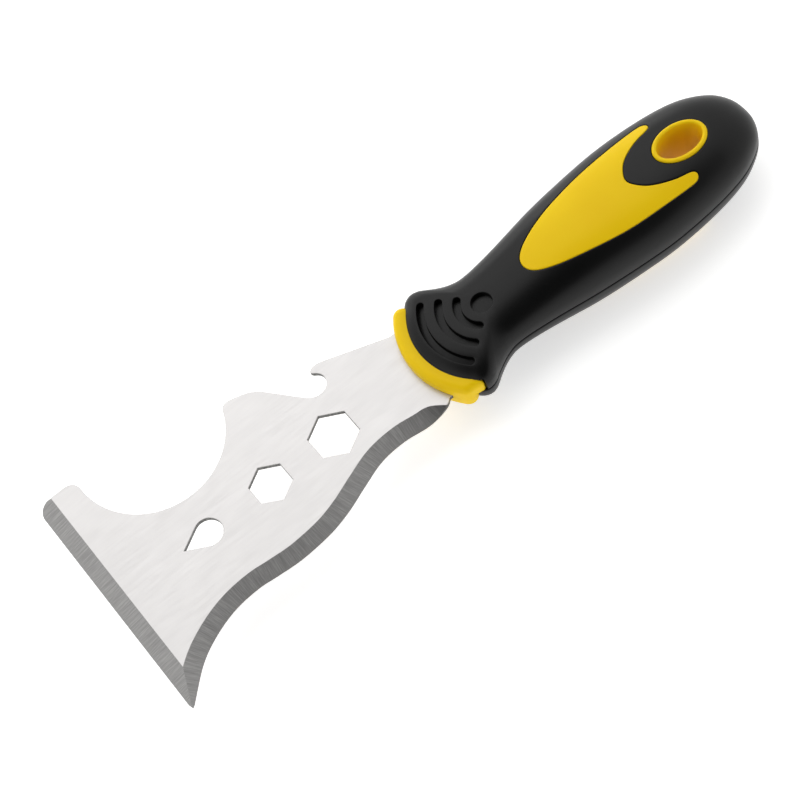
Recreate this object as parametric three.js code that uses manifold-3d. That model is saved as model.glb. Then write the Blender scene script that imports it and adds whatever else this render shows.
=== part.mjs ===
// Painters multi tool: a steel scraper plate with a full tang, held between two handle halves.
// x runs from the scraping edge to the butt, y across the blade, z out of the front face.
// While the pieces are made, x = 0 is the scraping edge, y = 0 the handle's axis and z = 0 the
// middle of the plate. The last lines put the origin under the middle of the tool as it lies.
import * as THREE from 'three';
import { mergeVertices } from 'three/addons/utils/BufferGeometryUtils.js';
import Module from 'manifold-3d';

const wasm = await Module();
wasm.setup();

// Driving dimensions, mm
const bladeReach = 105; // scraping edge to the bolster, on the axis
const upperReach = 39.2; // axis to the long edge above it
const tipReach = 38.1; // axis to the pointed tip below it
const plateThickness = 1.5;
const grindWidth = 5;
const edgeThickness = 0.3; // steel left at a ground edge
const rollerRadius = 22.9; // arc that squeezes a roller clean
const largeHexFlats = 13;
const smallHexFlats = 11;
const pullerRadius = 4.25; // round end of the nail puller
const [pullerX, smallHexX, largeHexX] = [33, 54.6, 76.7]; // hole centres
const cornerRadius = 4; // where the scraping edge meets the upper edge
const hornX = 13.1; // start of the roller arc
const neckWidth = 26.4; // plate where it enters the bolster
const runOutLength = 8.5; // of the long grind, beside the neck
const tangWidth = 14;
const tangLength = 76; // beyond the shoulders
const pinDiameter = 4;

const handleLength = 121.7; // bolster face to butt
const palmWidth = 36.6;
const waistWidth = 25.7;
const fanWidth = 37;
const palmThickness = 25.2;
const waistThickness = 16.8;
const buttFall = 0.0025; // how fast the palm's crown curves down to the butt, per mm
const bolsterThickness = 9.6;
const bolsterWidth = 34.6;
const bolsterEnd = 2.8; // radius of the bolster's round ends
const [footStart, footReach] = [7, 12.4]; // bolster face to both ends of each half's foot
const footFlare = 0.6; // how far the foot widens to the back
const footInner = 9; // axis to its hidden side, inside the core
const bolsterDepth = 3.9; // how far it stands out in front of the grip
const gripWall = 2.6;
const grooves = [[7.1, 47.5], [12.3, 43.5], [17.6, 41.3]]; // radius, and degrees to each side
const grooveWidth = 2.3;
const grooveDepth = 1.9;
const dotRadius = 3.15;
const inlayWidth = 25.2;
const sleeveLength = 17.6; // oval hang hole lining, outside
const sleeveWidth = 12;
const sleeveWall = 1.4;
const sleeveProud = 0.35;
const fitGap = 0.3; // clearance between neighbouring pieces
const pinLength = waistThickness - 2 * (gripWall + fitGap); // the pins end against the grip at its waist
const seamBreak = 0.5; // corner taken off the grip halves along their seam

// Places along the handle, from the same sizes
const fanRadius = 26; // bolster face about the fan's centre
const fanX = bladeReach + fanRadius;
const fanCrestX = fanX - 12.6; // widest place of the fan
const buttX = bladeReach + handleLength;
const palmX = buttX - 41;
const buttCentreX = buttX - 17;
const sleeveX = buttX - 23.6;
const waistX = fanX + 3;
const inlayTipX = waistX + 12.2;
const inlayEndX = sleeveX - 2.8;
const shoulderX = bladeReach + 8.5;
const pinXs = [0.22, 0.5, 0.8].map((share) => shoulderX + share * tangLength);
const lipSlope = 2 * buttFall * (sleeveX - palmX); // the crown's slope at the hang hole
const gripFrontRadius = fanRadius - bolsterDepth + 0.9;

const steel = new THREE.MeshStandardMaterial({ color: 0xdedcda, roughness: 0.3, metalness: 1 });
const yellow = new THREE.MeshStandardMaterial({ color: 0xebc832, roughness: 0.4, metalness: 0 });
const black = new THREE.MeshStandardMaterial({ color: 0x232324, roughness: 0.65, metalness: 0 });
const pinSteel = new THREE.MeshStandardMaterial({ color: 0x9a9a98, roughness: 0.4, metalness: 1 });

// A closed geometry as a solid that can be cut and joined
function solid(geometry) {
  geometry.deleteAttribute('normal');
  geometry.deleteAttribute('uv');
  const merged = mergeVertices(geometry, 1e-3);
  const corners = merged.index.array;
  const triVerts = [];
  for (let i = 0; i < corners.length; i += 3) {
    const [a, b, c] = corners.slice(i, i + 3);
    if (a !== b && b !== c && c !== a) triVerts.push(a, b, c);
  }
  return new wasm.Manifold(new wasm.Mesh({
    numProp: 3,
    vertProperties: merged.attributes.position.array,
    triVerts: new Uint32Array(triVerts),
  }));
}

function meshOf(name, body, material) {
  const { numProp, vertProperties, triVerts } = body.getMesh();
  const geometry = new THREE.BufferGeometry();
  const positions = new THREE.InterleavedBuffer(vertProperties, numProp);
  geometry.setAttribute('position', new THREE.InterleavedBufferAttribute(positions, 3, 0));
  geometry.setIndex(new THREE.BufferAttribute(triVerts, 1));
  const flat = geometry.toNonIndexed();
  flat.computeVertexNormals();
  const mesh = new THREE.Mesh(flat, material);
  mesh.name = name;
  return mesh;
}

// A flat outline pulled up from one height to another
function prism(shape, low, high, curveSegments = 10) {
  const geometry = new THREE.ExtrudeGeometry(shape, {
    depth: high - low,
    bevelEnabled: false,
    curveSegments,
  });
  geometry.translate(0, 0, low);
  return solid(geometry);
}

// A closed skin over rows of points with the same count; both ends are flat and convex
function loft(rows) {
  const count = rows[0].length;
  const positions = [];
  const face = (a, b, c) => positions.push(...a, ...b, ...c);
  for (let r = 0; r + 1 < rows.length; r += 1) {
    for (let i = 0; i < count; i += 1) {
      const j = (i + 1) % count;
      face(rows[r][i], rows[r][j], rows[r + 1][j]);
      face(rows[r][i], rows[r + 1][j], rows[r + 1][i]);
    }
  }
  const last = rows[rows.length - 1];
  for (let i = 1; i + 1 < count; i += 1) {
    face(rows[0][0], rows[0][i + 1], rows[0][i]);
    face(last[0], last[i], last[i + 1]);
  }
  const geometry = new THREE.BufferGeometry();
  geometry.setAttribute('position', new THREE.Float32BufferAttribute(positions, 3));
  return solid(geometry);
}

function circle(x, y, radius) {
  return new THREE.Shape().absarc(x, y, radius, 0, 2 * Math.PI);
}

function oval(length, width) {
  return new THREE.Shape().absellipse(sleeveX, 0, length / 2, width / 2, 0, 2 * Math.PI);
}

// ---- The plate

// Hollow curve of the ground long edge, from the neck to the pointed tip
const wavyEdge = new THREE.SplineCurve([
  [bladeReach + 2.8, -neckWidth / 2],
  [bladeReach + 1.1, -neckWidth / 2 - 1.2],
  [bladeReach - 2, -neckWidth / 2 - 2.1],
  [bladeReach - 7, -neckWidth / 2 - 2.5],
  [bladeReach - 15, -neckWidth / 2 - 1.5],
  [bladeReach - 23, -neckWidth / 2 - 2.1],
  [74, -18], [66, -21], [58, -22.9], [48, -23.6], [40, -23], [34, -22.4],
  [26, -23], [18, -25.4], [10, -tipReach + 8.4], [1.2, -tipReach + 0.5],
].map(([x, y]) => new THREE.Vector2(x, y)));

function bladeOutline() {
  const shape = new THREE.Shape();
  const neckX = bladeReach + 1.6;
  const tangEndX = shoulderX + tangLength;
  shape.moveTo(0, 1.5 - tipReach);
  shape.lineTo(0, upperReach - cornerRadius);
  shape.absarc(cornerRadius, upperReach - cornerRadius, cornerRadius, Math.PI, Math.PI / 2, true);
  // horn between the corner and the roller arc
  const arcX = hornX + rollerRadius;
  const arcY = upperReach - 3.9;
  shape.lineTo(hornX - 3.9, upperReach);
  shape.quadraticCurveTo(hornX, upperReach, hornX, arcY);
  const arcEnd = THREE.MathUtils.degToRad(339);
  shape.absarc(arcX, arcY, rollerRadius, Math.PI, arcEnd, false);
  // lobe and nail notch
  const lobeX = arcX + rollerRadius * Math.cos(arcEnd);
  const lobeY = arcY + rollerRadius * Math.sin(arcEnd);
  shape.quadraticCurveTo(lobeX + 0.9, lobeY + 2.7, lobeX + 4.1, lobeY + 1.7);
  shape.lineTo(lobeX + 7, lobeY + 0.8);
  shape.quadraticCurveTo(lobeX + 10.5, lobeY - 0.3, lobeX + 12.7, lobeY - 3.2);
  shape.lineTo(lobeX + 19.2, lobeY - 11.4);
  shape.quadraticCurveTo(lobeX + 21.4, lobeY - 14.4, lobeX + 24, lobeY - 14.5);
  shape.quadraticCurveTo(lobeX + 27.6, lobeY - 14.4, lobeX + 28.1, lobeY - 11.2);
  // hook over the notch, then the straight edge down to the neck
  shape.quadraticCurveTo(lobeX + 28.3, lobeY - 9.4, lobeX + 26.8, lobeY - 8.3);
  shape.quadraticCurveTo(lobeX + 25, lobeY - 7, lobeX + 26.9, lobeY - 6.2);
  shape.quadraticCurveTo(lobeX + 28.4, lobeY - 5.8, lobeX + 30.2, lobeY - 6.4);
  shape.lineTo(neckX, neckWidth / 2 + 0.3);
  // shoulders and tang
  shape.lineTo(shoulderX, neckWidth / 2);
  shape.lineTo(shoulderX + 1.5, tangWidth / 2);
  shape.lineTo(tangEndX - tangWidth / 2, tangWidth / 2);
  shape.absarc(tangEndX - tangWidth / 2, 0, tangWidth / 2, Math.PI / 2, -Math.PI / 2, true);
  shape.lineTo(shoulderX + 1.5, -tangWidth / 2);
  shape.lineTo(shoulderX, -neckWidth / 2);
  return new THREE.Shape([
    ...shape.getPoints(9),
    ...wavyEdge.getPoints(60),
    new THREE.Vector2(0.4, -tipReach),
  ]);
}

// Wrench hole with two corners across the blade
function hexagon(x, flats) {
  const hole = new THREE.Path();
  const corners = [];
  for (let i = 0; i <= 6; i += 1) {
    const angle = Math.PI / 2 + i * Math.PI / 3;
    const reach = flats / Math.sqrt(3);
    corners.push(new THREE.Vector2(x + reach * Math.cos(angle), reach * Math.sin(angle)));
  }
  return hole.setFromPoints(corners);
}

// Nail puller: a circle drawn out to a point towards the scraping edge
function teardrop(x) {
  const pointX = x - 2 * pullerRadius;
  const touch = Math.acos(pullerRadius / (x - pointX));
  const hole = new THREE.Path();
  hole.moveTo(pointX, 0);
  hole.absarc(x, 0, pullerRadius, Math.PI + touch, Math.PI - touch, false);
  hole.lineTo(pointX, 0);
  return hole;
}

// Wedge of steel that grinding takes off the front face beside an edge point. Its rows lean
// from the full thickness, one grind width in, to the thin ground edge.
function grindRow([x, y], [outX, outY], width) {
  const top = plateThickness / 2;
  const fall = (plateThickness - edgeThickness) / grindWidth;
  const beyond = 2;
  const at = (out, z) => [x + outX * out, y + outY * out, z];
  return [
    at(-width, top + 1),
    at(-width, top),
    at(beyond, top - fall * (width + beyond)),
    at(beyond, top + 1),
  ];
}

function straightGrind() {
  return loft([-tipReach - 5, upperReach + 5].map((y) => grindRow([0, y], [-1, 0], grindWidth)));
}

// The grind follows the wavy edge and runs out to nothing beside the neck
function wavyGrind() {
  const steps = 56;
  const length = wavyEdge.getLength();
  const startShare = 2.4 / length; // where the run-out ends
  const rows = [];
  for (let i = 1; i <= steps; i += 1) {
    const share = startShare + (i / steps) * (1 - startShare);
    const point = wavyEdge.getPointAt(share);
    const along = wavyEdge.getTangentAt(share);
    const left = Math.max(0, 1 - (share - startShare) * length / runOutLength);
    rows.push(grindRow([point.x, point.y], [-along.y, along.x], grindWidth * (1 - left ** 3)));
  }
  const end = wavyEdge.getPointAt(1);
  const along = wavyEdge.getTangentAt(1);
  const past = [end.x + 6 * along.x, end.y + 6 * along.y];
  rows.push(grindRow(past, [-along.y, along.x], grindWidth));
  return loft(rows);
}

function blade() {
  const outline = bladeOutline();
  outline.holes.push(teardrop(pullerX));
  outline.holes.push(hexagon(smallHexX, smallHexFlats), hexagon(largeHexX, largeHexFlats));
  for (const x of pinXs) outline.holes.push(circle(x, 0, pinDiameter / 2 + fitGap));
  return prism(outline, -plateThickness / 2, plateThickness / 2, 14)
    .subtract(straightGrind())
    .subtract(wavyGrind());
}

// ---- The handle

// Half width of the grip at z = 0 behind the fan's corner
const sideLine = new THREE.SplineCurve([
  [fanCrestX, fanWidth / 2],
  [fanX - 7.5, waistWidth / 2 + 2.9],
  [fanX - 2, waistWidth / 2 + 0.7],
  [waistX, waistWidth / 2],
  [waistX + 11, waistWidth / 2 + 1.1],
  [(waistX + palmX) / 2, (waistWidth + palmWidth) / 4 + 0.6],
  [palmX - 10, palmWidth / 2 - 0.5],
  [palmX + 1, palmWidth / 2],
  [palmX + 14, palmWidth / 2 - 0.7],
  [palmX + 24, palmWidth / 2 - 2.2],
  [palmX + 31, palmWidth / 2 - 4.5],
  [palmX + 37, palmWidth / 2 - 8.4],
  [palmX + 40.2, palmWidth / 2 - 13.3],
  [buttX, 0],
].map(([x, y]) => new THREE.Vector2(x, y)));

// Outline of the grip at z = 0: an arc about the fan's centre in front, then the side line and
// its mirror image
function gripOutline() {
  const half = [];
  const cornerAngle = Math.asin((fanWidth / 2 - 2) / gripFrontRadius);
  for (let i = 0; i <= 7; i += 1) {
    const angle = i / 7 * cornerAngle;
    half.push([fanX - gripFrontRadius * Math.cos(angle), gripFrontRadius * Math.sin(angle)]);
  }
  const corner = half[half.length - 1];
  half.push([(corner[0] + fanCrestX) / 2 - 0.6, fanWidth / 2 - 0.5]);
  half.push(...sideLine.getPoints(30).map((point) => [point.x, Math.abs(point.y)]));
  const mirrored = half.slice(1, -1).reverse().map(([x, y]) => [x, -y]);
  return [...half, ...mirrored];
}

// Point on the handle's spine that a place on the outline rises towards
function spineX(x) {
  return Math.min(Math.max(x, fanX), buttCentreX);
}

// Half thickness along the spine: it grows from the waist to the palm and falls to the butt
function crownHeight(x) {
  const rise = THREE.MathUtils.smoothstep(x, fanX - 3, (waistX + palmX) / 2 + 6);
  const fall = buttFall * Math.max(0, x - palmX) ** 2;
  return THREE.MathUtils.lerp(waistThickness, palmThickness, rise) / 2 - fall;
}

// How boxy a cross-section is, from the fan's front to its sides: 2 is an ellipse
function boxiness(x) {
  return THREE.MathUtils.lerp(3.3, 2.55, THREE.MathUtils.smoothstep(x, fanX - 14, fanX - 5));
}

// Half of the handle body above z = base, inset from the outer skin by a wall
function dome(wall, base, edgeBreak, levels = 7) {
  const outline = gripOutline();
  // a ring of the dome at an angle above the seam, 0 on the outline and PI / 2 on the spine
  const ring = (inset, angle) => outline.map(([x, y]) => {
    const dx = x - spineX(x);
    const power = 2 / boxiness(x);
    const share = angle < Math.PI / 2 ? Math.cos(angle) ** power : 0;
    const kept = share * (1 - inset / Math.hypot(dx, y));
    const px = spineX(x) + dx * kept;
    const height = crownHeight(px) - wall - base;
    return [px, y * kept, base + Math.sin(angle) ** power * height];
  });
  const folded = outline.map(([x]) => [spineX(x), 0, base]);
  const rings = [folded, ring(wall + edgeBreak, 0)];
  const firstAngle = edgeBreak > 0 ? 0.012 : 0; // lifts the first ring over the edge break
  for (let level = edgeBreak > 0 ? 0 : 1; level <= levels; level += 1) {
    rings.push(ring(wall, Math.max(firstAngle, level / levels * Math.PI / 2)));
  }
  return skin(rings);
}

// Closed skin through rings whose first and last ones lie folded on the spine
function skin(rings) {
  const positions = [];
  const face = (a, b, c) => positions.push(...a, ...b, ...c);
  for (let r = 0; r + 1 < rings.length; r += 1) {
    const count = rings[r].length;
    for (let i = 0; i < count; i += 1) {
      const j = (i + 1) % count;
      face(rings[r][i], rings[r + 1][j], rings[r][j]);
      face(rings[r][i], rings[r + 1][i], rings[r + 1][j]);
    }
  }
  const geometry = new THREE.BufferGeometry();
  geometry.setAttribute('position', new THREE.Float32BufferAttribute(positions, 3));
  return solid(geometry);
}

// Fork-shaped window: a blunt point towards the blade, two prongs beside the hang hole
function inlayShape(grow) {
  const half = inlayWidth / 2 + grow;
  const span = inlayEndX - inlayTipX;
  const outer = [
    [inlayTipX - grow, 0], [inlayTipX + 1.4, 3.2 + grow], [inlayTipX + 6, half - 6.6],
    [inlayTipX + 0.24 * span, half - 4.2], [inlayTipX + 0.41 * span, half - 2.1],
    [inlayTipX + 0.57 * span, half - 0.8], [inlayTipX + 0.75 * span, half - 0.2],
    [inlayEndX - 5, half], [inlayEndX - 1.3, half - 0.3], [inlayEndX + grow, half - 1.8],
    [inlayEndX - 1.2, half - 3 - 2 * grow], [inlayEndX - 6, half - 4 - 2 * grow],
    [inlayEndX - 11, half - 6 - 2 * grow], [inlayEndX - 14.5, half - 8.6 - 2 * grow],
    [inlayEndX - 16.6 + grow, 0],
  ].map(([x, y]) => new THREE.Vector2(x, y));
  const points = new THREE.SplineCurve(outer).getPoints(38);
  const mirrored = points.slice(1, -1).reverse().map((point) => new THREE.Vector2(point.x, -point.y));
  return new THREE.Shape([...points, ...mirrored]);
}

// Bolster outline: an arc in front with round ends, and a narrower back under the grip
function bolsterShape(grow) {
  const round = bolsterEnd + grow;
  const reach = fanRadius - bolsterEnd;
  const endY = bolsterWidth / 2 - bolsterEnd;
  const turn = Math.asin(endY / reach);
  const endX = fanX - reach * Math.cos(turn);
  const backX = fanX - 15 + grow;
  const backHalf = endY - bolsterEnd + grow;
  const shape = new THREE.Shape();
  shape.moveTo(backX, -backHalf);
  shape.lineTo(backX, backHalf);
  shape.absarc(endX, endY, round, -turn, Math.PI - turn, false);
  shape.absarc(fanX, 0, fanRadius + grow, Math.PI - turn, Math.PI + turn, false);
  shape.absarc(endX, -endY, round, Math.PI + turn, 2 * Math.PI + turn, false);
  return shape;
}

// Foot that carries the bolster's end on the pointed side along the grip, seen from above
function footShape(grow, frontHalf, backHalf) {
  const frontX = bladeReach + footStart;
  const backX = bladeReach + footReach + grow;
  return new THREE.Shape([
    [frontX, -frontHalf],
    [backX, -backHalf],
    [backX, -footInner],
    [frontX, -footInner],
  ].map(([x, y]) => new THREE.Vector2(x, y)));
}

// Concentric arcs cut into the fan face, with round ends
function grooveShape([radius, degrees]) {
  const spread = THREE.MathUtils.degToRad(degrees);
  const half = grooveWidth / 2;
  const end = (angle) => [fanX + radius * Math.cos(angle), radius * Math.sin(angle)];
  const [upX, upY] = end(Math.PI - spread);
  const [downX, downY] = end(Math.PI + spread);
  const shape = new THREE.Shape();
  shape.absarc(fanX, 0, radius + half, Math.PI - spread, Math.PI + spread, false);
  shape.absarc(downX, downY, half, Math.PI + spread, 2 * Math.PI + spread, false);
  shape.absarc(fanX, 0, radius - half, Math.PI + spread, Math.PI - spread, true);
  shape.absarc(upX, upY, half, -spread, Math.PI - spread, false);
  return shape;
}

const tall = palmThickness;
const seam = fitGap / 2;

function gripHalf() {
  const bolsterTop = bolsterThickness / 2 + fitGap;
  const floor = dome(grooveDepth, 0, 0);
  let marks = prism(circle(fanX, 0, dotRadius), 0, tall);
  for (const groove of grooves) marks = marks.add(prism(grooveShape(groove), 0, tall, 5));
  return dome(0, seam, seamBreak)
    .subtract(dome(gripWall, 0, 0, 5))
    .subtract(marks.subtract(floor))
    .subtract(prism(bolsterShape(fitGap), -1, bolsterTop))
    .subtract(prism(footShape(fitGap, fanWidth / 2 + 1, fanWidth / 2 + 1), -1, bolsterTop))
    .subtract(prism(inlayShape(fitGap), -1, tall))
    .subtract(prism(oval(sleeveLength + 2 * fitGap, sleeveWidth + 2 * fitGap), -1, tall));
}

function tangPocket() {
  const half = neckWidth / 2 + fitGap;
  const mouth = new THREE.Shape();
  mouth.moveTo(bladeReach - 5, -half);
  mouth.lineTo(shoulderX + fitGap, -half);
  mouth.lineTo(shoulderX + 1.5 + fitGap, -tangWidth / 2 - fitGap);
  mouth.lineTo(shoulderX + tangLength + fitGap, -tangWidth / 2 - fitGap);
  mouth.lineTo(shoulderX + tangLength + fitGap, tangWidth / 2 + fitGap);
  mouth.lineTo(shoulderX + 1.5 + fitGap, tangWidth / 2 + fitGap);
  mouth.lineTo(shoulderX + fitGap, half);
  mouth.lineTo(bladeReach - 5, half);
  return prism(mouth, -1, plateThickness / 2 + fitGap);
}

function coreHalf() {
  const bolsterHalf = bolsterWidth / 2;
  const hole = oval(sleeveLength + 2 * fitGap, sleeveWidth + 2 * fitGap);
  let body = dome(gripWall + fitGap, seam, 0, 5)
    .add(prism(bolsterShape(0), seam, bolsterThickness / 2))
    .add(prism(footShape(0, bolsterHalf, bolsterHalf + footFlare), seam, bolsterThickness / 2))
    .add(prism(inlayShape(0), seam, tall).intersect(dome(0, 0, 0)))
    .subtract(tangPocket())
    .subtract(prism(hole, -1, tall));
  for (const x of pinXs) {
    body = body.subtract(prism(circle(x, 0, pinDiameter / 2 + fitGap), -1, pinLength / 2 + fitGap));
  }
  return body;
}

// Height of the sleeve's lips, which lie in a plane that slopes with the crown
function lipHeight(x) {
  return crownHeight(sleeveX) + sleeveProud - lipSlope * (x - sleeveX);
}

function sleeve() {
  const lining = oval(sleeveLength, sleeveWidth);
  lining.holes.push(oval(sleeveLength - 2 * sleeveWall, sleeveWidth - 2 * sleeveWall));
  const geometry = new THREE.ExtrudeGeometry(lining, {
    depth: 1,
    bevelEnabled: false,
    curveSegments: 14,
  });
  const { position } = geometry.attributes;
  for (let i = 0; i < position.count; i += 1) {
    const lip = lipHeight(position.getX(i));
    position.setZ(i, position.getZ(i) > 0.5 ? lip : -lip);
  }
  return solid(geometry);
}

function pin(x) {
  return prism(circle(x, 0, pinDiameter / 2), -pinLength / 2, pinLength / 2, 8);
}

// ---- The tool

const tool = new THREE.Group();
tool.add(meshOf('blade', blade(), steel));
const halves = [['grip', gripHalf(), black], ['core', coreHalf(), yellow]];
for (const [name, body, material] of halves) {
  const rear = meshOf(`${name}_rear`, body, material);
  rear.rotation.x = Math.PI;
  tool.add(meshOf(`${name}_front`, body, material), rear);
}
tool.add(meshOf('hang_sleeve', sleeve(), yellow));
pinXs.forEach((x, i) => tool.add(meshOf(`tang_pin_${i + 1}`, pin(x), pinSteel)));
const lipReach = lipHeight(sleeveX - sleeveLength / 2);
tool.position.set(-buttX / 2, (tipReach - upperReach) / 2, lipReach);

export default tool;
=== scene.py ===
import math
import bpy
import bmesh
import numpy as np
from mathutils import Matrix, Vector
from mathutils.geometry import delaunay_2d_cdt


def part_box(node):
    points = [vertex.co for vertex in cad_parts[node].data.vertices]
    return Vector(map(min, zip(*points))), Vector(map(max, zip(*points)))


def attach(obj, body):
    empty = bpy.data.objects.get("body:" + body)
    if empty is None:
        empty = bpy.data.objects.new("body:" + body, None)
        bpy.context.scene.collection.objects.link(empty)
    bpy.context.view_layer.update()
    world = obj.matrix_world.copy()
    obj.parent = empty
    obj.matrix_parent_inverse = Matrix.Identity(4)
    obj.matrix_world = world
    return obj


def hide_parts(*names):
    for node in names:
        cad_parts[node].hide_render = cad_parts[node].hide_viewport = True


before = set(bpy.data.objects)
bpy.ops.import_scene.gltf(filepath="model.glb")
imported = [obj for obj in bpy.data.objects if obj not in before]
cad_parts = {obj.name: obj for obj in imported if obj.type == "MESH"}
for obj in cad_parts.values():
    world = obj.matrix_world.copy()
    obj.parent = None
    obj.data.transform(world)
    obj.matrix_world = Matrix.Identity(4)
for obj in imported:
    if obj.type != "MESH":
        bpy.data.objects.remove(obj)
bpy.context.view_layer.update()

print("frame loaded:", len(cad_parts), "nodes")

# Shapes are drawn in millimetres: x from the scraping edge, y from the handle's axis, z from
# the middle of the plate. toFrame turns them into the frame's metres.
mm = 0.001
plateLow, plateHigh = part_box("blade")
sleeveLow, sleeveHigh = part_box("hang_sleeve")
frameStart = Vector((
    plateLow.x, (sleeveLow.y + sleeveHigh.y) / 2, (plateLow.z + plateHigh.z) / 2,
))
toFrame = Matrix.Translation(frameStart) @ Matrix.Scale(mm, 4)


# the view from above and in front of the scraping edge; angles in degrees, lens in mm
view = {
    "target": (-0.0163, -0.0045, 0.01296),
    "distance": 0.665,
    "azimuth": -17.1,
    "elevation": 61.6,
    "roll": -22.9,
    "lens": 108,
}


def makeCamera():
    azimuth, elevation = math.radians(view["azimuth"]), math.radians(view["elevation"])
    back = Vector((
        math.sin(azimuth) * math.cos(elevation),
        -math.cos(azimuth) * math.cos(elevation),
        math.sin(elevation),
    ))
    data = bpy.data.cameras.new("camera")
    data.lens = view["lens"]
    data.sensor_width = 36
    data.clip_start = 0.01
    camera = bpy.data.objects.new("camera", data)
    bpy.context.scene.collection.objects.link(camera)
    camera.rotation_mode = "QUATERNION"
    turn = Matrix.Rotation(math.radians(view["roll"]), 3, "Z")
    aim = (-back).to_track_quat("-Z", "Y").to_matrix()
    camera.rotation_quaternion = (aim @ turn).to_quaternion()
    camera.location = Vector(view["target"]) + back * view["distance"]
    bpy.context.scene.camera = camera


def srgb(code):
    # an sRGB hex colour as linear red, green, blue and alpha
    channels = [int(code[i:i + 2], 16) / 255 for i in (1, 3, 5)]
    return [c / 12.92 if c <= 0.04045 else ((c + 0.055) / 1.055) ** 2.4 for c in channels] + [1]


def addNode(tree, kind, settings=None, wires=(), **links):
    # settings hold properties, or input values where the node has an input of that name; wires
    # go to the inputs in order, as sockets or as plain values
    node = tree.nodes.new(kind)
    for key, value in (settings or {}).items():
        if key in node.inputs:
            node.inputs[key].default_value = value
        else:
            setattr(node, key, value)
    for i, source in enumerate(wires):
        if isinstance(source, bpy.types.NodeSocket):
            tree.links.new(source, node.inputs[i])
        else:
            node.inputs[i].default_value = source
    for key, source in links.items():
        found = [s for s in node.inputs if s.name.replace(" ", "") == key]
        tree.links.new(source, found[0])
    return node


studio = {
    # a soft white room with a dim patch, whose edges are in degrees from its middle
    "bright": 1.0, "dim": 0.05,
    "dimTowards": (-0.12, -0.46, 0.86), "dimInner": 28, "dimOuter": 52,
    "lights": [
        # name, place, size, watts
        ("overhead", (0.15, 0.75, 1.25), (1.5, 1.1), 4.5),
        ("leftFill", (-1.1, -0.1, 0.7), (0.9, 0.9), 0.8),
        ("farRim", (0.1, 1.4, 0.4), (1.6, 0.35), 3),
    ],
    "floorSize": 4, "floorColour": "#f4f4f3", "floorGlow": 0.55,
}


def makeRoom():
    world = bpy.data.worlds.new("softRoom")
    world.use_nodes = True
    tree = world.node_tree
    place = addNode(tree, "ShaderNodeTexCoord")
    towards = addNode(tree, "ShaderNodeVectorMath", {"operation": "DOT_PRODUCT"})
    tree.links.new(place.outputs["Generated"], towards.inputs[0])
    towards.inputs[1].default_value = Vector(studio["dimTowards"]).normalized()
    fade = addNode(tree, "ShaderNodeMapRange", {
        "interpolation_type": "SMOOTHSTEP",
        "From Min": math.cos(math.radians(studio["dimOuter"])),
        "From Max": math.cos(math.radians(studio["dimInner"])),
        "To Min": studio["bright"], "To Max": studio["dim"],
    }, Value=towards.outputs["Value"])
    tree.links.new(fade.outputs["Result"], tree.nodes["Background"].inputs["Strength"])
    tree.nodes["Background"].inputs["Color"].default_value = (1, 1, 1, 1)
    bpy.context.scene.world = world


def makeStudio():
    scene = bpy.context.scene
    scene.view_settings.view_transform = "Standard"
    makeRoom()
    for name, place, size, watts in studio["lights"]:
        light = bpy.data.lights.new(name, "AREA")
        light.shape = "RECTANGLE"
        light.size, light.size_y = size
        light.energy = watts
        lamp = bpy.data.objects.new(name, light)
        lamp.location = place
        lamp.rotation_mode = "QUATERNION"
        lamp.rotation_quaternion = (-Vector(place)).to_track_quat("-Z", "Y")
        scene.collection.objects.link(lamp)
    half = studio["floorSize"] / 2
    mesh = bpy.data.meshes.new("floor")
    mesh.from_pydata([(-half, -half, 0), (half, -half, 0), (half, half, 0), (-half, half, 0)],
                     [], [(0, 1, 2, 3)])
    floor = bpy.data.objects.new("floor", mesh)
    scene.collection.objects.link(floor)
    paper = bpy.data.materials.new("whiteBackdropPaper")
    paper.use_nodes = True
    shader = paper.node_tree.nodes["Principled BSDF"]
    shader.inputs["Base Color"].default_value = srgb(studio["floorColour"])
    shader.inputs["Roughness"].default_value = 0.9
    shader.inputs["Emission Color"].default_value = (1, 1, 1, 1)
    shader.inputs["Emission Strength"].default_value = studio["floorGlow"]
    mesh.materials.append(paper)


def newMaterial(name):
    material = bpy.data.materials.new(name)
    material.use_nodes = True
    tree = material.node_tree
    return material, tree, tree.nodes["Principled BSDF"]


def objectNoise(tree, scale, detail=3, stretch=(1, 1, 1)):
    # noise on object coordinates; scale is in features per metre
    place = addNode(tree, "ShaderNodeTexCoord")
    mapping = addNode(tree, "ShaderNodeMapping", {"Scale": stretch},
                      Vector=place.outputs["Object"])
    return addNode(tree, "ShaderNodeTexNoise", {"Scale": scale, "Detail": detail},
                   Vector=mapping.outputs["Vector"])


def rampTo(tree, source, stops):
    ramp = addNode(tree, "ShaderNodeValToRGB", Fac=source)
    elements = ramp.color_ramp.elements
    for i, (place, colour) in enumerate(stops):
        element = elements[i] if i < 2 else elements.new(place)
        element.position = place
        element.color = colour
    return ramp


def rangeTo(tree, source, low, high, fromLow=0.3, fromHigh=0.7):
    node = addNode(tree, "ShaderNodeMapRange", {"To Min": low, "To Max": high,
                                                "From Min": fromLow, "From Max": fromHigh})
    tree.links.new(source, node.inputs["Value"])
    return node.outputs["Result"]


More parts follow.
